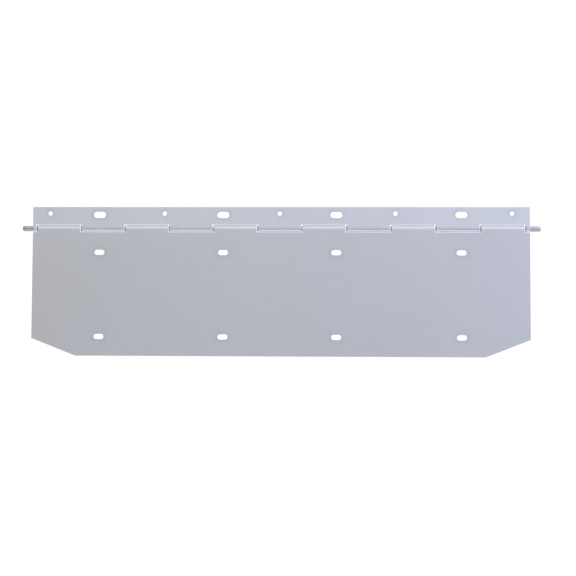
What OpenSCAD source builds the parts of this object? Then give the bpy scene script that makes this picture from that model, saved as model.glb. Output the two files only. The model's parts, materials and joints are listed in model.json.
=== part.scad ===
// Hinged swing plate for the front or rear of a truck. A narrow mounting leaf is bolted to
// the vehicle, and a wide swing leaf hangs from it on a full-length hinge pin, carries two
// licence plates side by side and swings clear when something strikes it.
//
// Both leaves are one sheet each. Their barrels are rolled out of the sheet itself, to the
// back, so that the two front faces lie in one plane.
//
// Origin: the middle hole of the mounting leaf, on the front face.
// +X runs along the hinge, +Y points to the back, where the barrels are, and +Z is up.

/* [Sheet] */
// Width of both leaves, along the hinge
plate_w = 711.2; // [704:0.1:760]
// Thickness of the stainless sheet
sheet_t = 1.9; // [1.2:0.1:2.6]

/* [Hinge pin] */
// Diameter of the pin
pin_d = 7.94; // [6:0.01:10]
// Length of pin standing out past each side of the plate
pin_out = 15.5; // [2:0.5:30]
// Chamfer on the two ends of the pin
pin_chamfer = 0.8; // [0.2:0.1:1.5]

/* [Knuckles] */
// Distance between the seams of neighbouring knuckles
knuckle_pitch = 63.5; // [60:0.1:63.6]
// Gap between neighbouring knuckles
knuckle_gap = 1.5; // [0.6:0.1:2.5]
// Radial play of the pin in the knuckles that turn on it
pin_play = 0.08; // [0.02:0.01:0.1]
// Clearance between a knuckle and the back of the other leaf, where it is notched round it
notch_play = 1; // [0.6:0.1:2]
// Angle that a roll runs on past the far side of the pin before it ends
roll_past = 35; // [0:1:35]

/* [Mounting leaf] */
// Height of the mounting leaf above the pin's axis
mount_leaf_h = 30.8; // [29:0.1:60]
// Distance from its top edge down to the row of round holes
hole_drop = 9.5; // [6:0.1:12]
// Diameter of the round holes
hole_d = 6.35; // [4:0.05:9]
// Distance between neighbouring round holes
hole_pitch = 165.1; // [150:0.1:170]
// Distance from its top edge down to the row of slots
mount_slot_drop = 11.5; // [8:0.1:14]
// End-to-end length of a slot in the mounting leaf
mount_slot_len = 17.1; // [10:0.1:20]
// Width of a slot in the mounting leaf
mount_slot_w = 8.9; // [5:0.1:9.5]

/* [Swing leaf] */
// Height of the swing leaf below the pin's axis
swing_leaf_h = 183; // [175:0.5:260]
// Distance from the pin's axis down to the upper row of slots
plate_row_drop = 34.7; // [20:0.1:40]
// End-to-end length of a slot in the swing leaf
plate_slot_len = 14.2; // [9:0.1:20]
// Width of a slot in the swing leaf
plate_slot_w = 7.4; // [5:0.1:9]
// Width of the cut on each lower corner
corner_w = 63.5; // [10:0.5:90]
// Height of the cut on each lower corner
corner_h = 25; // [5:0.5:60]

/* [Licence plate pattern] */
// Distance between a licence plate's holes, across
plate_holes_x = 177.8; // [150:0.1:180]
// Distance between a licence plate's holes, up and down
plate_holes_z = 120.65; // [60:0.05:125]
// Distance between the inner holes of the two licence plates
plates_apart = 161.9; // [150:0.1:180]

/* [Hidden] */
$fn = 96;

// The turning knuckles, and the two end ones that are closed tight on the pin
pin_r = pin_d / 2;
bore_r = pin_r + pin_play;
knuckle_r = bore_r + sheet_t;

// Height of the notches above and below the pin's axis. The back of the sheet is bore_r in
// front of the axis, so a notch needn't reach as far up or down as the knuckle itself
notch_h = sqrt(pow(knuckle_r + notch_play, 2) - pow(bore_r, 2));

// Lengths and places along the pin
knuckle_len = knuckle_pitch - knuckle_gap;
end_len = plate_w / 2 - 5.5 * knuckle_pitch - knuckle_gap / 2;
end_x = plate_w / 2 - end_len / 2;

// Places of the knuckles along the pin, counted in pitches from the middle one
mount_knuckles = [for (i = [-4:2:4]) i * knuckle_pitch];
swing_knuckles = [for (i = [-5:2:5]) i * knuckle_pitch];

// The pin's axis: it lies one knuckle radius behind the front faces
pin_z = hole_drop - mount_leaf_h;
pin_len = plate_w + 2 * pin_out;

// Places of the slots and holes along the leaves
inner_slot_x = plates_apart / 2;
outer_slot_x = inner_slot_x + plate_holes_x;
slot_xs = [-outer_slot_x, -inner_slot_x, inner_slot_x, outer_slot_x];
hole_xs = [for (i = [-2:2]) i * hole_pitch];

// Puts what follows on the pin's axis, with the axis along X
module at_pin() translate([0, knuckle_r, pin_z]) children();

// Stands a flat outline, drawn with x along the pin and y up, up as sheet whose front face
// is the plane y = 0
module stand_sheet() translate([0, sheet_t, pin_z]) rotate([90, 0, 0]) linear_extrude(sheet_t) children();

// Outline of a slot with round ends, centred where it stands
module slot(length, width) {
    square([length - width, width], center = true);
    for (side = [-1, 1]) translate([side * (length - width) / 2, 0]) circle(d = width);
}

// Section of a roll, square to the pin: it leaves the sheet at the left, below it, runs
// round the pin and ends just short of the back of its own sheet
module roll_section(inner_r) {
    reach = 2 * knuckle_r;
    difference() {
        circle(r = knuckle_r);
        circle(r = inner_r);
        polygon([
            [0, 0],
            [-reach, 0],
            [-reach, reach],
            [-reach * sin(roll_past), reach * cos(roll_past)]
        ]);
    }
}

// One knuckle rolled from a sheet above it, with the pin's axis at the origin and the
// knuckle centred at x along it
module knuckle(x, length, inner_r) {
    translate([x - length / 2, 0, 0]) rotate([90, 0, 90]) linear_extrude(length) roll_section(inner_r);
}

// The strip of sheet that joins a knuckle to its leaf, centred at x
module tab(x, length) translate([x - length / 2, 0]) square([length, notch_h]);

module mounting_leaf() color([0.78, 0.79, 0.82]) {
    stand_sheet() difference() {
        union() {
            translate([-plate_w / 2, notch_h]) square([plate_w, mount_leaf_h - notch_h]);
            for (x = mount_knuckles) tab(x, knuckle_len);
            for (side = [-1, 1]) tab(side * end_x, end_len);
        }
        for (x = hole_xs) translate([x, mount_leaf_h - hole_drop]) circle(d = hole_d);
        for (x = slot_xs) translate([x, mount_leaf_h - mount_slot_drop])
            slot(mount_slot_len, mount_slot_w);
    }
    at_pin() {
        for (x = mount_knuckles) knuckle(x, knuckle_len, bore_r);
        for (side = [-1, 1]) knuckle(side * end_x, end_len, pin_r);
    }
}

// Outline of the swing leaf's flat sheet, below the notches, with its lower corners cut
module swing_outline() {
    half_w = plate_w / 2;
    polygon([
        [-half_w, -notch_h],
        [-half_w, corner_h - swing_leaf_h],
        [corner_w - half_w, -swing_leaf_h],
        [half_w - corner_w, -swing_leaf_h],
        [half_w, corner_h - swing_leaf_h],
        [half_w, -notch_h]
    ]);
}

module swing_leaf() color([0.73, 0.74, 0.78]) {
    stand_sheet() difference() {
        union() {
            swing_outline();
            for (x = swing_knuckles) translate([0, -notch_h]) tab(x, knuckle_len);
        }
        for (x = slot_xs, row = [0, 1]) translate([x, -plate_row_drop - row * plate_holes_z])
            slot(plate_slot_len, plate_slot_w);
    }
    at_pin() mirror([0, 0, 1]) for (x = swing_knuckles) knuckle(x, knuckle_len, bore_r);
}

module hinge_pin() color([0.66, 0.67, 0.7]) {
    at_pin() translate([-pin_len / 2, 0, 0]) rotate([0, 90, 0]) rotate_extrude() polygon([
        [0, 0],
        [pin_r - pin_chamfer, 0],
        [pin_r, pin_chamfer],
        [pin_r, pin_len - pin_chamfer],
        [pin_r - pin_chamfer, pin_len],
        [0, pin_len]
    ]);
}

mounting_leaf();
swing_leaf();
hinge_pin();
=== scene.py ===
"""Looks of the hinged swing plate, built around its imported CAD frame.

Each leaf is drawn as the flat blank that it is cut from, with its holes and its hinge tabs,
and the tabs are then rolled round the pin, as on the real part. Everything is in metres, in
the frame's own axes: +X along the hinge, +Y to the back, +Z up.
"""

import json
import math

import bpy
import numpy as np
from mathutils import Matrix, Vector
from mathutils.geometry import delaunay_2d_cdt


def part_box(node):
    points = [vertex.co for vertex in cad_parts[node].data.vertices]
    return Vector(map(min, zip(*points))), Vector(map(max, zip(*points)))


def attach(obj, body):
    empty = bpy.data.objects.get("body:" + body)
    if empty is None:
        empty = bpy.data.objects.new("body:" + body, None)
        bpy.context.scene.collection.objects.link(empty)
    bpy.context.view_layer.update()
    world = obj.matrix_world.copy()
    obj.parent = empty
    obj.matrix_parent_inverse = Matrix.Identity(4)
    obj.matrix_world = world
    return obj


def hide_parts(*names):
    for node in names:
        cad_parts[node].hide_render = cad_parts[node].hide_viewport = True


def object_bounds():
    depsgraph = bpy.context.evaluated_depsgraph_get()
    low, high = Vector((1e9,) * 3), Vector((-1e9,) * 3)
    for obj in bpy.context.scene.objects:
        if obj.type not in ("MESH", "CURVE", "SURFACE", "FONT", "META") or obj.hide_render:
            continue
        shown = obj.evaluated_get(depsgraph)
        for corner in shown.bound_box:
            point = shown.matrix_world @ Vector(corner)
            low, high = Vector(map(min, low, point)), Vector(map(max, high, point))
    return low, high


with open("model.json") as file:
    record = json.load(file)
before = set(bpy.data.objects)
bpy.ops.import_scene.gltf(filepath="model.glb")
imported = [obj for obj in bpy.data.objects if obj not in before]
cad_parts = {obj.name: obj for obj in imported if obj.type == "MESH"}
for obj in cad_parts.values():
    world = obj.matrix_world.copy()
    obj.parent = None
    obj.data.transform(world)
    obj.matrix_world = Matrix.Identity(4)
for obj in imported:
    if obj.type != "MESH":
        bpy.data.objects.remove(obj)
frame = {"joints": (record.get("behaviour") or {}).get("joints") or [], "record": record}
cad_low, cad_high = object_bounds()

MM = 0.001

# ---------------------------------------------------------------- sizes

# The hinge, as the part's source lays it out
SHEET = 1.9 * MM
PIN_R = 3.97 * MM
PIN_PLAY = 0.08 * MM
PIN_CHAMFER = 0.8 * MM
NOTCH_PLAY = 1.0 * MM
PITCH = 63.5 * MM
GAP = 1.5 * MM
ROLL_PAST = math.radians(35)

BORE_R = PIN_R + PIN_PLAY
KNUCKLE_R = BORE_R + SHEET
# The back of the sheet is what has to clear the other leaf's knuckles
NOTCH_H = math.sqrt((KNUCKLE_R + NOTCH_PLAY) ** 2 - BORE_R ** 2)
TAB_W = PITCH - GAP
ROLL_ANGLE = math.radians(270) + ROLL_PAST
# A bent sheet keeps its length along the middle of its thickness
MIDDLE_R = BORE_R + SHEET / 2

# How far ahead of the pin each leaf starts to bend, and how far it has turned by the pin's level
LEAD_RUN = 2.2 * MM
LEAD_ANGLE = math.radians(8)

# Cut on each lower corner of the swing leaf
CORNER_W = 63.5 * MM
CORNER_H = 25 * MM

# Places read from the frame
mounts = {m["name"]: m for m in frame["record"]["mounts"]}
pin_y, pin_z = frame["joints"][0]["pos_m"][1:]
mount_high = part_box("mounting_leaf")[1]
swing_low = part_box("swing_leaf")[0]
pin_low, pin_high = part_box("hinge_pin")
HALF_W = mount_high.x
END_W = HALF_W - 5.5 * PITCH - GAP / 2

# Finish of the cut edges: the front one is drawn over by the punch, most of all along the
# sides of the hinge tabs, and the back one is deburred
FRONT_EDGE = 0.18 * MM
TAB_EDGE = 0.8 * MM
BACK_EDGE = 0.14 * MM

# Radii of the blanks' corners
NOTCH_CORNER = 0.8 * MM
TAB_CORNER = 1.0 * MM
LEAF_CORNER = 1.2 * MM

# How far a leaf's faces wander from flat, at most twice this
WAVE = 0.1 * MM

# Reach of the painted shade and added roughness round a hole, and of the painted shade in a gap
HOLE_SHADE_AND_ROUGH_REACH = 2.2 * MM
GAP_SHADE_REACH = 0.9 * MM

# Fineness of the meshes
ARC_STEP = math.radians(15)
ROLL_STEP = math.radians(5)
EDGE_STEPS = 4
LEAD_ROWS = 4
GRID = 9 * MM
# Distances from a hole at which the sheet is divided round it
RIM_STEPS = (1.2 * MM, 3.0 * MM, 6.0 * MM)
ROD_SIDES = 72
ROD_ROWS = 80
# Edges of the rod that turn by more than this are drawn sharp
ROD_SHARP = math.radians(28)

# The triangulation is done in millimetres, and merges points closer than CDT_MERGE
CDT_SCALE = 1000.0
CDT_MERGE = 1e-4
# Share of a run, at either end, where no point is added
RUN_END = 1e-3
# Step for working out slopes
TINY = 1e-6


# ---------------------------------------------------------------- outlines of the blanks
# A blank lies in the plane of (x, s): x runs along the hinge, and s is the distance along the
# sheet from the pin's axis, below 0 on the tabs that are rolled. Outlines are lists of
# (point, outward normal), with the material on the left of the way round.

def filleted(corners):
    """The closed outline through corners, each (x, s, radius)."""
    outline = []
    for k, (x, s, radius) in enumerate(corners):
        here = Vector((x, s))
        back = (Vector(corners[k - 1][:2]) - here).normalized()
        ahead = (Vector(corners[(k + 1) % len(corners)][:2]) - here).normalized()
        half = back.angle(ahead) / 2
        # 1 at an outer corner, and -1 at an inner one
        side = 1 if back.x * ahead.y < back.y * ahead.x else -1
        centre = here + (back + ahead).normalized() * radius / math.sin(half)
        start = here + back * radius / math.tan(half) - centre
        sweep = side * (math.pi - 2 * half)
        steps = max(2, math.ceil(abs(sweep) / ARC_STEP))
        for j in range(steps + 1):
            a = math.atan2(start.y, start.x) + sweep * j / steps
            ray = Vector((math.cos(a), math.sin(a)))
            outline.append((centre + ray * radius, ray * side))
    return outline


def slot(x, s, length, width):
    """The outline of a slot with round ends; a round hole is a slot as long as it is wide."""
    reach = (length - width) / 2
    steps = round(math.pi / ARC_STEP)
    outline = []
    # Where the two ends meet without a straight run, they share their last points
    count = steps + 1 if reach > 0 else steps
    for side in (1, -1):
        for j in range(count):
            a = side * math.pi / 2 - math.pi * j / steps
            ray = Vector((math.cos(a), math.sin(a)))
            outline.append((Vector((x + side * reach, s)) + ray * width / 2, -ray))
    return outline


def with_levels(outline, levels):
    """The outline with points added along its straight runs: at the levels where a run is steep,
    and evenly where it is flat."""
    out = []
    for k, (p, n) in enumerate(outline):
        out.append((p, n))
        run = outline[(k + 1) % len(outline)][0] - p
        # The chords of the rounded corners are shorter than this
        if run.length > 2 * LEAF_CORNER:
            if abs(run.x) < abs(run.y):
                cuts = [(level - p.y) / run.y for level in levels]
            else:
                count = math.ceil(run.length / GRID)
                cuts = [j / count for j in range(1, count)]
            out += [(p + run * t, n) for t in sorted(cuts) if RUN_END < t < 1 - RUN_END]
    return out


def front_rounding(outline):
    """How far the front edge is drawn over at each point of an outline."""
    radii = []
    for p, n in outline:
        beside_tab = abs(p.x) < HALF_W - TAB_CORNER and p.y < NOTCH_H + NOTCH_CORNER
        radii.append(FRONT_EDGE + (TAB_EDGE - FRONT_EDGE) * n.x ** 2 * beside_tab)
    return np.array(radii)


def inset(outline, by):
    """The points of an outline moved into the material, all alike or each by its own step."""
    steps = np.broadcast_to(by, len(outline))
    return [p - n * float(step) for (p, n), step in zip(outline, steps)]


def leaf_corners(height, tabs, corner_w, corner_h):
    """Corners of a leaf's blank. tabs are (x from, x to), from left to right."""
    end = -MIDDLE_R * ROLL_ANGLE
    corners = []
    if tabs[0][0] > -HALF_W:
        corners.append((-HALF_W, NOTCH_H, TAB_CORNER))
    for low, high in tabs:
        if low > -HALF_W:
            corners.append((low, NOTCH_H, NOTCH_CORNER))
        corners.append((low, end, TAB_CORNER))
        corners.append((high, end, TAB_CORNER))
        if high < HALF_W:
            corners.append((high, NOTCH_H, NOTCH_CORNER))
    if tabs[-1][1] < HALF_W:
        corners.append((HALF_W, NOTCH_H, TAB_CORNER))
    if corner_h:
        corners.append((HALF_W, height - corner_h, LEAF_CORNER))
    corners.append((HALF_W - corner_w, height, LEAF_CORNER))
    corners.append((corner_w - HALF_W, height, LEAF_CORNER))
    if corner_h:
        corners.append((-HALF_W, height - corner_h, LEAF_CORNER))
    return corners


# ---------------------------------------------------------------- sheet-metal meshes

def inside(points, polygon):
    """Which points lie inside a closed polygon, by counting the edges to their right."""
    px, ps = points[:, 0][:, None], points[:, 1][:, None]
    a = np.array(polygon)
    b = np.roll(a, -1, axis=0)
    spans = (a[:, 1] > ps) != (b[:, 1] > ps)
    rise = np.where(b[:, 1] == a[:, 1], 1, b[:, 1] - a[:, 1])
    crosses = px < a[:, 0] + (ps - a[:, 1]) * (b[:, 0] - a[:, 0]) / rise
    return (spans & crosses).sum(axis=1) % 2 == 1


def distance(points, outline):
    """Distance from each point to the nearest point of an outline."""
    marks = np.array([p for p, n in outline])
    gaps = points[:, None, :] - marks[None, :, :]
    return np.sqrt((gaps ** 2).sum(axis=2)).min(axis=1)


def place(x, s, depth, side):
    """Where a point of the blank ends up. depth is measured from the front face; side is 1 for
    a leaf above the pin and -1 for one below it."""
    # The press starts to bend the sheet a little before it reaches the pin
    early = LEAD_ANGLE * np.clip(1 - s / LEAD_RUN, 0, 1)
    angle = early + np.clip(-s, 0, None) / MIDDLE_R * (1 - LEAD_ANGLE / ROLL_ANGLE)
    reach = KNUCKLE_R - depth
    flat = np.clip(s, 0, None)
    # Sheet this wide is never quite flat
    fade = np.clip((flat - 2 * NOTCH_H) / (4 * NOTCH_H), 0, 1) ** 2
    long_wave = np.sin(9.0 * x + 21.0 * s * side + 0.6)
    short_wave = np.sin(17.0 * x - 13.0 * s + 2.1)
    wave = WAVE * fade * (long_wave + short_wave)
    # How far the early bend has carried the sheet forward by here
    forward = LEAD_ANGLE / (2 * LEAD_RUN) * (LEAD_RUN ** 2 - np.clip(LEAD_RUN - flat, 0, None) ** 2)
    y = pin_y - reach * np.cos(angle) - forward + wave
    z = pin_z + side * (flat - reach * np.sin(angle))
    return np.stack([x, y, z], axis=-1)


def unit(vectors):
    """The vectors, each at length 1."""
    return vectors / np.linalg.norm(vectors, axis=-1, keepdims=True)


def directions(x, s, depth, side):
    """Unit vectors along x, along s and into the sheet, where the blank ends up."""
    here = place(x, s, depth, side)
    return (
        unit(place(x + TINY, s, depth, side) - here),
        unit(place(x, s + TINY, depth, side) - here),
        unit(place(x, s, depth + TINY, side) - here),
    )


def sheet_mesh(name, outlines, chains, grid, side):
    """A closed mesh of sheet with rounded edges.

    outlines[0] is the blank's edge and the others are its holes. chains are rows of points
    that the surface is divided along, and grid holds loose points."""
    # One triangulation serves both faces
    points, edges = [], []
    front = [inset(outline, front_rounding(outline)) for outline in outlines]
    for row, closed in [(row, True) for row in front] + [(row, False) for row in chains]:
        first = len(points)
        points += row
        edges += [(first + j, first + j + 1) for j in range(len(row) - 1)]
        if closed:
            edges.append((len(points) - 1, first))
    points += grid
    scaled = [Vector(p) * CDT_SCALE for p in points]
    verts, _, faces, origins, _, _ = delaunay_2d_cdt(scaled, edges, [], 0, CDT_MERGE)
    flat = np.array([v[:] for v in verts]) / CDT_SCALE
    faces = np.array([f[:] for f in faces])
    centres = flat[faces].mean(axis=1)
    keep = inside(centres, front[0])
    for hole in front[1:]:
        keep &= ~inside(centres, hole)
    faces = faces[keep]
    merged = {origin: k for k, group in enumerate(origins) for origin in group}

    # Both faces, as (x, s, depth), with their normals as (x, s, depth) too
    front_count = len(flat)
    back_flat = flat.copy()
    position = [np.column_stack([flat, np.zeros(front_count)])]
    normal = [np.tile([0.0, 0.0, -1.0], (front_count, 1))]
    polygons = [tuple(f) for f in faces]
    polygons += [tuple(f[::-1] + front_count) for f in faces]
    edge_from = len(polygons)
    loops = []
    first = 0
    for outline in outlines:
        loop = [merged[first + j] for j in range(len(outline))]
        loops.append(loop)
        back_flat[loop] = inset(outline, BACK_EDGE)
        first += len(outline)
    position.append(np.column_stack([back_flat, np.full(front_count, SHEET)]))
    normal.append(np.tile([0.0, 0.0, 1.0], (front_count, 1)))

    # Rounded edges: rings from the front face, down the wall, to the back face
    count = 2 * front_count
    quarter = [j * math.pi / 2 / EDGE_STEPS for j in range(EDGE_STEPS + 1)]
    for outline, loop in zip(outlines, loops):
        size = len(outline)
        ways = np.array([n[:] for _, n in outline])
        radii = front_rounding(outline)
        rings = [(radii * (1 - math.sin(a)), radii * (1 - math.cos(a)), a) for a in quarter[1:]]
        rings += [
            (BACK_EDGE * (1 - math.sin(a)), SHEET - BACK_EDGE * (1 - math.cos(a)), math.pi - a)
            for a in quarter[:0:-1]
        ]
        rows = [loop]
        for by, depth, a in rings:
            depths = np.broadcast_to(depth, size)
            position.append(np.column_stack([np.array(inset(outline, by)), depths]))
            normal.append(np.column_stack([ways * math.sin(a), np.full(size, -math.cos(a))]))
            rows.append(list(range(count, count + size)))
            count += size
        rows.append([k + front_count for k in loop])
        for upper, lower in zip(rows, rows[1:]):
            for j in range(size):
                k = (j + 1) % size
                polygons.append((upper[j], lower[j], lower[k], upper[k]))

    position = np.concatenate(position)
    normal = np.concatenate(normal)
    x, s, depth = position.T
    along_x, along_s, inward = directions(x, s, depth, side)
    normals = unit(along_x * normal[:, :1] + along_s * normal[:, 1:2] + inward * normal[:, 2:])
    if side < 0:
        polygons = [p[::-1] for p in polygons]

    mesh = bpy.data.meshes.new(name)
    mesh.from_pydata(place(x, s, depth, side).tolist(), [], [list(map(int, p)) for p in polygons])
    from_hole = np.min([distance(position[:, :2], hole) for hole in outlines[1:]], axis=0)
    # 1 at a hole's edge, and less the further away: the mask of the painted shade and of the added
    # roughness round the holes
    rim = np.exp(-from_hole / HOLE_SHADE_AND_ROUGH_REACH).astype(np.float32)
    mesh.attributes.new("rim", "FLOAT", "POINT").data.foreach_set("value", rim)
    mesh.polygons.foreach_set("use_smooth", [True] * len(polygons))
    is_edge = [int(k >= edge_from) for k in range(len(polygons))]
    mesh.polygons.foreach_set("material_index", is_edge)
    used = np.zeros(len(position), bool)
    used[np.concatenate([np.array(p) for p in polygons])] = True
    assert used.all(), f"{name}: {np.count_nonzero(~used)} loose points"
    mesh.normals_split_custom_set_from_vertices(normals.tolist())
    leaf = bpy.data.objects.new(name, mesh)
    bpy.context.scene.collection.objects.link(leaf)
    return leaf


def leaf_piece(name, height, tabs, holes, side, corner_w=0.0, corner_h=0.0):
    """One leaf with its knuckles, from its blank. height is that of its flat from the pin's axis,
    tabs are (x from, x to), and holes are (x, s, length, width)."""
    roll_length = MIDDLE_R * ROLL_ANGLE
    roll_rows = round(ROLL_ANGLE / ROLL_STEP)
    # The last rows would fall in the rounded corners of the tabs
    levels = [-roll_length * j / roll_rows for j in range(roll_rows - 2)]
    levels += [LEAD_RUN * j / LEAD_ROWS for j in range(1, LEAD_ROWS + 1)]
    rows = [NOTCH_H + GRID * j for j in range(1, int((height - NOTCH_H) / GRID))]
    blank = filleted(leaf_corners(height, tabs, corner_w, corner_h))
    outlines = [with_levels(blank, levels + rows)] + [slot(*hole) for hole in holes]

    chains = []
    for low, high in tabs:
        count = max(2, round((high - low) / GRID))
        width = high - low - 2 * FRONT_EDGE
        across = [low + FRONT_EDGE + width * j / count for j in range(1, count)]
        chains += [[Vector((x, level)) for x in across] for level in levels]
    rims = [inset(hole, by) for hole in outlines[1:] for by in RIM_STEPS]
    loose = [
        Vector((x, s))
        for x in np.arange(-HALF_W + GRID / 2, HALF_W, GRID) for s in rows
    ]
    grid = np.array([p[:] for p in loose])
    clear = distance(grid, outlines[0]) > GRID / 2
    clear &= inside(grid, inset(outlines[0], GRID / 3))
    for hole in outlines[1:]:
        clear &= distance(grid, hole) > RIM_STEPS[-1] + GRID / 3
    grid = [p for p, ok in zip(loose, clear) if ok]
    grid += [p for rim in rims for p in rim if NOTCH_H + MM < p.y < height - MM]
    return sheet_mesh(name, outlines, chains, grid, side)


def holes_of(*names):
    """(x, z, length, width) of every hole in the named mounts."""
    found = []
    for name in names:
        mount = mounts[name]
        dims = mount["dims"]
        x, _, z = mount["pos_m"]
        radius = dims.get("hole_r_mm", dims.get("r_mm")) * MM
        length = dims.get("slot_length_mm", 2 * radius / MM) * MM
        across = dims.get("spacing_x_mm", 0) * MM / 2
        along = dims.get("spacing_y_mm", 0) * MM / 2
        for dx in {-across, across}:
            for dz in {-along, along}:
                found.append((x + dx, z + dz, length, 2 * radius))
    return sorted(found)


def tab_at(pitches):
    """Both sides, in x, of the tab so many pitches from the middle."""
    return (pitches * PITCH - TAB_W / 2, pitches * PITCH + TAB_W / 2)


def mounting_leaf():
    """The narrow upper leaf: five long knuckles, and a short one at each end."""
    tabs = [(-HALF_W, END_W - HALF_W), *map(tab_at, (-4, -2, 0, 2, 4)), (HALF_W - END_W, HALF_W)]
    names = [n for n in mounts if n.startswith(("mounting_hole", "mounting_slot"))]
    holes = [(x, z - pin_z, length, width) for x, z, length, width in holes_of(*names)]
    return leaf_piece("mounting_leaf_sheet", mount_high.z - pin_z, tabs, holes, 1)


def swing_leaf():
    """The wide lower leaf, with six knuckles and its lower corners cut."""
    tabs = [tab_at(k) for k in (-5, -3, -1, 1, 3, 5)]
    holes = [
        (x, pin_z - z, length, width)
        for x, z, length, width in holes_of("plate_holes_left", "plate_holes_right")
    ]
    return leaf_piece("swing_leaf_sheet", pin_z - swing_low.z, tabs, holes, -1, CORNER_W, CORNER_H)


def hinge_pin():
    """The rod, turned off square and chamfered at both ends."""
    face_round = 0.15 * MM
    profile = [
        (0.0, 0.0),
        (0.6 * PIN_R, 0.0),
        (PIN_R - PIN_CHAMFER - face_round, 0.0),
        (PIN_R - PIN_CHAMFER, 0.3 * face_round),
        (PIN_R - 0.3 * face_round, PIN_CHAMFER - face_round),
        (PIN_R, PIN_CHAMFER + face_round),
    ]
    length = pin_high.x - pin_low.x
    middle = [(PIN_R, length * k / ROD_ROWS) for k in range(1, ROD_ROWS)]
    profile += middle + [(r, length - x) for r, x in reversed(profile)]
    verts, polygons = [], []
    for r, x in profile[1:-1]:
        for j in range(ROD_SIDES):
            a = 2 * math.pi * j / ROD_SIDES
            verts.append((pin_low.x + x, pin_y + r * math.cos(a), pin_z + r * math.sin(a)))
    last = len(verts) - ROD_SIDES
    for row in range(0, last, ROD_SIDES):
        for j in range(ROD_SIDES):
            n = (j + 1) % ROD_SIDES
            polygons.append((row + j, row + n, row + ROD_SIDES + n, row + ROD_SIDES + j))
    verts += [(pin_low.x, pin_y, pin_z), (pin_high.x, pin_y, pin_z)]
    for j in range(ROD_SIDES):
        n = (j + 1) % ROD_SIDES
        polygons.append((len(verts) - 2, n, j))
        polygons.append((len(verts) - 1, last + j, last + n))
    mesh = bpy.data.meshes.new("hinge_pin_rod")
    mesh.from_pydata(verts, [], polygons)
    mesh.polygons.foreach_set("use_smooth", [True] * len(polygons))
    mesh.set_sharp_from_angle(angle=ROD_SHARP)
    rod = bpy.data.objects.new("hinge_pin_rod", mesh)
    bpy.context.scene.collection.objects.link(rod)
    return rod


# ---------------------------------------------------------------- materials

# Roughness of the sheet's faces, before its grain and marks add a little
SATIN = 0.24


class Nodes:
    """A short way to write a node tree."""

    def __init__(self, tree):
        self.tree = tree
        tree.nodes.clear()

    def add(self, kind, inputs=None, **settings):
        """A new node. inputs hold plain values, or sockets of other nodes to link from."""
        node = self.tree.nodes.new(kind)
        for key, value in settings.items():
            setattr(node, key, value)
        for key, value in (inputs or {}).items():
            if isinstance(value, bpy.types.NodeSocket):
                self.tree.links.new(value, node.inputs[key])
            else:
                node.inputs[key].default_value = value
        return node

    def math(self, operation, *values):
        return self.add("ShaderNodeMath", dict(enumerate(values)), operation=operation).outputs[0]

    def noise(self, vector, scale, detail=2.0, roughness=0.5):
        inputs = {"Vector": vector, "Scale": scale, "Detail": detail, "Roughness": roughness}
        return self.add("ShaderNodeTexNoise", inputs).outputs["Fac"]

    def stretched(self, vector, scale):
        return self.add("ShaderNodeMapping", {"Vector": vector, "Scale": scale}).outputs[0]

    def remap(self, value, low, high, to_low, to_high):
        inputs = {"Value": value, "From Min": low, "From Max": high, "To Min": to_low, "To Max": to_high}
        return self.add("ShaderNodeMapRange", inputs).outputs[0]

    def ramp(self, value, stops):
        node = self.add("ShaderNodeValToRGB", {"Fac": value})
        elements = node.color_ramp.elements
        while len(elements) < len(stops):
            elements.new(0.5)
        for element, (at, colour) in zip(elements, stops):
            element.position = at
            element.color = (*colour, 1.0)
        return node.outputs["Color"]

    def mix(self, factor, a, b):
        """Colour a where the factor is 0, and b where it is 1."""
        node = self.add("ShaderNodeMix", data_type="RGBA")
        # The sockets of the colour form are found by number, because their names repeat
        for key, value in ((0, factor), (6, a), (7, b)):
            if isinstance(value, bpy.types.NodeSocket):
                self.tree.links.new(value, node.inputs[key])
            else:
                node.inputs[key].default_value = value
        return node.outputs[2]


def grey(r, g, b):
    """An opaque colour, near grey as every colour here is."""
    return (r, g, b, 1.0)


def new_material(name):
    """A new material, and the node tree to write it in."""
    material = bpy.data.materials.new(name)
    material.use_nodes = True
    return material, Nodes(material.node_tree)


def gap_shaded(nodes, colour):
    """The colour, darkened as painted shade in the hinge's gaps and creases, by ambient occlusion."""
    open_air = nodes.add("ShaderNodeAmbientOcclusion", {"Distance": GAP_SHADE_REACH}).outputs["AO"]
    # The dark grey is painted shade, mixed in where the surface is enclosed
    return nodes.mix(nodes.remap(open_air, 0.3, 0.85, 0.0, 1.0), grey(0.24, 0.235, 0.23), colour)


def finish_material(nodes, colour, roughness, height, depth, strength):
    """The shader of bare steel, with its fine relief."""
    bump = nodes.add("ShaderNodeBump", {"Height": height, "Distance": depth, "Strength": strength})
    shader = nodes.add("ShaderNodeBsdfPrincipled", {
        "Base Color": colour,
        "Metallic": 1.0,
        "Roughness": roughness,
        "Normal": bump.outputs[0],
    })
    nodes.add("ShaderNodeOutputMaterial", {"Surface": shader.outputs[0]})


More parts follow.
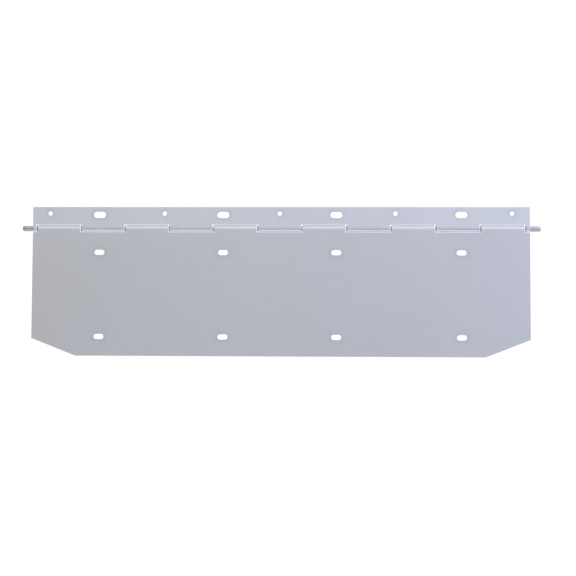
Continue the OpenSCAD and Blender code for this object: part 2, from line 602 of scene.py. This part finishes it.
def sheet_steel(name, light, dark):
    """Satin stainless sheet: a fine grain along the coil, faint scratches and handling marks, with
    painted shade round its holes and in the hinge's gaps.
    """
    material, nodes = new_material(name)
    where = nodes.add("ShaderNodeTexCoord").outputs["Object"]
    grain = nodes.noise(nodes.stretched(where, (14, 2600, 2600)), 1.0, 3.0, 0.6)
    bands = nodes.noise(nodes.stretched(where, (2.5, 260, 260)), 1.0, 2.0)
    cloud = nodes.noise(where, 7.0, 3.0, 0.55)
    smear = nodes.noise(nodes.stretched(where, (22, 60, 60)), 1.0, 4.0, 0.6)

    # Sparse hairlines at two slants
    scratches = None
    for turn, seed in ((0.35, 3.0), (-0.9, 11.0)):
        inputs = {"Vector": where, "Rotation": (0, turn, 0), "Location": (seed, 0, 0)}
        turned = nodes.add("ShaderNodeMapping", inputs).outputs[0]
        line = nodes.noise(nodes.stretched(turned, (9, 1, 1500)), 1.0, 1.0)
        patch = nodes.noise(turned, 16.0, 1.0)
        mark = nodes.math(
            "MULTIPLY",
            nodes.remap(line, 0.7, 0.78, 0.0, 1.0),
            nodes.remap(patch, 0.55, 0.7, 0.0, 1.0),
        )
        scratches = mark if scratches is None else nodes.math("MAXIMUM", scratches, mark)

    tone = nodes.math("ADD", nodes.math("MULTIPLY", cloud, 0.9), nodes.math("MULTIPLY", bands, 0.1))
    colour = nodes.mix(nodes.remap(tone, 0.35, 0.65, 0.0, 1.0), dark, light)
    rim = nodes.add("ShaderNodeAttribute", attribute_name="rim").outputs["Fac"]
    # Painted shade round the holes: the sheet darkens towards each hole's edge
    colour = nodes.mix(nodes.math("MULTIPLY", rim, 0.3), colour, grey(0.2, 0.2, 0.21))
    colour = nodes.mix(nodes.math("MULTIPLY", scratches, 0.25), colour, grey(0.85, 0.86, 0.88))

    rough = nodes.math("ADD", SATIN, nodes.math("MULTIPLY", grain, 0.03))
    rough = nodes.math("ADD", rough, nodes.math("MULTIPLY", smear, 0.03))
    rough = nodes.math("ADD", rough, nodes.math("MULTIPLY", rim, 0.06))
    relief = nodes.math("ADD", grain, bands)
    relief = nodes.math("SUBTRACT", relief, nodes.math("MULTIPLY", scratches, 0.5))
    finish_material(nodes, gap_shaded(nodes, colour), rough, relief, 0.001 * MM, 0.5)
    return material


def cut_steel(name):
    """The sheet's cut edges: brighter and rougher, with the cutter's marks across the thickness."""
    material, nodes = new_material(name)
    where = nodes.add("ShaderNodeTexCoord").outputs["Object"]
    marks = nodes.noise(nodes.stretched(where, (2600, 90, 2600)), 1.0, 2.0, 0.6)
    tone = nodes.remap(marks, 0.35, 0.65, 0.0, 1.0)
    colour = nodes.mix(tone, grey(0.66, 0.66, 0.67), grey(0.78, 0.78, 0.79))
    rough = nodes.remap(marks, 0.3, 0.7, 0.28, 0.42)
    finish_material(nodes, colour, rough, marks, 0.01 * MM, 0.7)
    return material


def rod_steel(name):
    """Ground rod, darker than the sheet, with fine rings round it."""
    material, nodes = new_material(name)
    where = nodes.add("ShaderNodeTexCoord").outputs["Object"]
    rings = nodes.noise(nodes.stretched(where, (3200, 40, 40)), 1.0, 2.0, 0.6)
    cloud = nodes.noise(where, 60.0, 2.0)
    tone = nodes.remap(cloud, 0.35, 0.65, 0.0, 1.0)
    colour = nodes.mix(tone, grey(0.30, 0.30, 0.31), grey(0.37, 0.37, 0.39))
    rough = nodes.remap(rings, 0.3, 0.7, 0.28, 0.4)
    finish_material(nodes, gap_shaded(nodes, colour), rough, rings, 0.004 * MM, 0.6)
    return material


# ---------------------------------------------------------------- camera, light and floor

# Brightness of everything behind the object, as the camera sees it
BACKDROP = 1.05


def camera():
    """The photograph's view: a little below the middle and to its right, almost square on."""
    data = bpy.data.cameras.new("camera")
    data.lens = 70.3
    data.sensor_width = 36
    data.clip_end = 60
    cam = bpy.data.objects.new("camera", data)
    cam.location = (0.0652, -1.5995, -0.193)
    yaw, pitch, roll = math.radians(1.90), math.radians(3.09), math.radians(0.25)
    turned = Matrix.Rotation(yaw, 4, "Z") @ Matrix.Rotation(math.radians(90) + pitch, 4, "X")
    cam.rotation_euler = (turned @ Matrix.Rotation(roll, 4, "Z")).to_euler()
    bpy.context.scene.collection.objects.link(cam)
    bpy.context.scene.camera = cam


def floor():
    """A plain pale floor below the hanging plate."""
    near, far, half, drop = -1.0, 8.0, 8.0, 0.42
    z = cad_low.z - drop
    mesh = bpy.data.meshes.new("floor")
    corners = [(-half, near, z), (half, near, z), (half, far, z), (-half, far, z)]
    mesh.from_pydata(corners, [], [(0, 1, 2, 3)])
    obj = bpy.data.objects.new("floor", mesh)
    bpy.context.scene.collection.objects.link(obj)
    material, nodes = new_material("pale_floor")
    inputs = {"Base Color": grey(0.85, 0.84, 0.82), "Roughness": 0.8}
    shader = nodes.add("ShaderNodeBsdfPrincipled", inputs)
    # As pale to the camera as the backdrop, so that the two meet without a line
    pale = nodes.add("ShaderNodeEmission", {"Color": grey(1, 1, 1), "Strength": BACKDROP})
    seen = nodes.add("ShaderNodeLightPath").outputs["Is Camera Ray"]
    both = nodes.add("ShaderNodeMixShader", {0: seen, 1: shader.outputs[0], 2: pale.outputs[0]})
    nodes.add("ShaderNodeOutputMaterial", {"Surface": both.outputs[0]})
    mesh.materials.append(material)


def studio_light():
    """Soft surroundings: brightest overhead, with a dark strip of room a little below the horizon
    in front, a dim left-hand side and a bright, bluish right-hand one."""
    world = bpy.data.worlds.new("studio")
    bpy.context.scene.world = world
    world.use_nodes = True
    nodes = Nodes(world.node_tree)
    way = nodes.add("ShaderNodeTexCoord").outputs["Generated"]
    split = nodes.add("ShaderNodeSeparateXYZ", {"Vector": way})

    # Brightness by the angle round the hinge's direction, in degrees: 0 is straight in front
    # of the plate, 90 overhead, 180 behind it and 270 underneath
    ahead = nodes.math("MULTIPLY", split.outputs["Y"], -1.0)
    turn = nodes.math("ARCTAN2", split.outputs["Z"], ahead)
    turn = nodes.math("FRACT", nodes.math("ADD", nodes.math("DIVIDE", turn, 2 * math.pi), 1.0))
    sky = [
        (0, 0.90), (9, 0.88), (16, 1.25), (30, 1.42), (48, 1.52), (65, 1.45), (80, 1.42), (98, 1.50),
        (122, 1.35), (150, 1.1), (172, 0.9), (200, 0.85), (270, 0.8), (328, 0.8), (333, 0.4),
        (347, 0.4), (351, 0.92), (360, 0.9),
    ]
    around = nodes.ramp(turn, [(angle / 360, (level,) * 3) for angle, level in sky])

    # Tint by how far the light comes from the left, -1, or from the right, 1
    sides = [
        (-1.0, (0.35, 0.355, 0.365)), (-0.5, (0.75, 0.755, 0.765)), (-0.27, (0.94, 0.938, 0.925)),
        (-0.15, (1.0, 1.01, 1.045)), (-0.02, (0.985, 0.995, 1.035)), (0.2, (1.03, 1.06, 1.19)),
        (0.4, (1.22, 1.3, 1.6)), (0.55, (1.6, 1.7, 2.0)), (1.0, (2.2, 2.3, 2.6)),
    ]
    across = nodes.remap(split.outputs["X"], -1.0, 1.0, 0.0, 1.0)
    tint = nodes.ramp(across, [((x + 1) / 2, colour) for x, colour in sides])

    light = nodes.add("ShaderNodeVectorMath", {0: around, 1: tint}, operation="MULTIPLY").outputs[0]
    room = nodes.add("ShaderNodeBackground", {"Color": light, "Strength": 1.0})
    backdrop = nodes.add("ShaderNodeBackground", {"Color": grey(1, 1, 1), "Strength": BACKDROP})
    # The camera sees plain white behind the object, and the object sees the room
    seen = nodes.add("ShaderNodeLightPath").outputs["Is Camera Ray"]
    both = nodes.add("ShaderNodeMixShader", {0: seen, 1: room.outputs[0], 2: backdrop.outputs[0]})
    nodes.add("ShaderNodeOutputWorld", {"Surface": both.outputs[0]})
    bpy.context.scene.view_settings.view_transform = "Standard"


# ---------------------------------------------------------------- the object

def assemble():
    """Makes the pieces, and says for each which body it rides on and which node it replaces."""
    edge = cut_steel("sheet_edge")
    # The two leaves are one steel: the mounting leaf's lighter colour and the swing leaf's darker one are
    # painted light and shade
    mounting_face = sheet_steel("mounting_leaf_face", grey(0.575, 0.587, 0.628), grey(0.56, 0.572, 0.612))
    swing_face = sheet_steel("swing_leaf_face", grey(0.512, 0.52, 0.552), grey(0.502, 0.51, 0.537))
    pieces = [
        (mounting_leaf(), [mounting_face, edge], "mounting_leaf", "mounting_leaf", "mounting_leaf_steel"),
        (swing_leaf(), [swing_face, edge], "swing_leaf", "swing_leaf", "swing_leaf_steel"),
        (hinge_pin(), [rod_steel("pin_surface")], "mounting_leaf", "hinge_pin", "pin_steel"),
    ]
    for piece, materials, body, node, slot_name in pieces:
        for material in materials:
            piece.data.materials.append(material)
        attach(piece, body)
        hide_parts(node)


camera()
floor()
studio_light()
assemble()
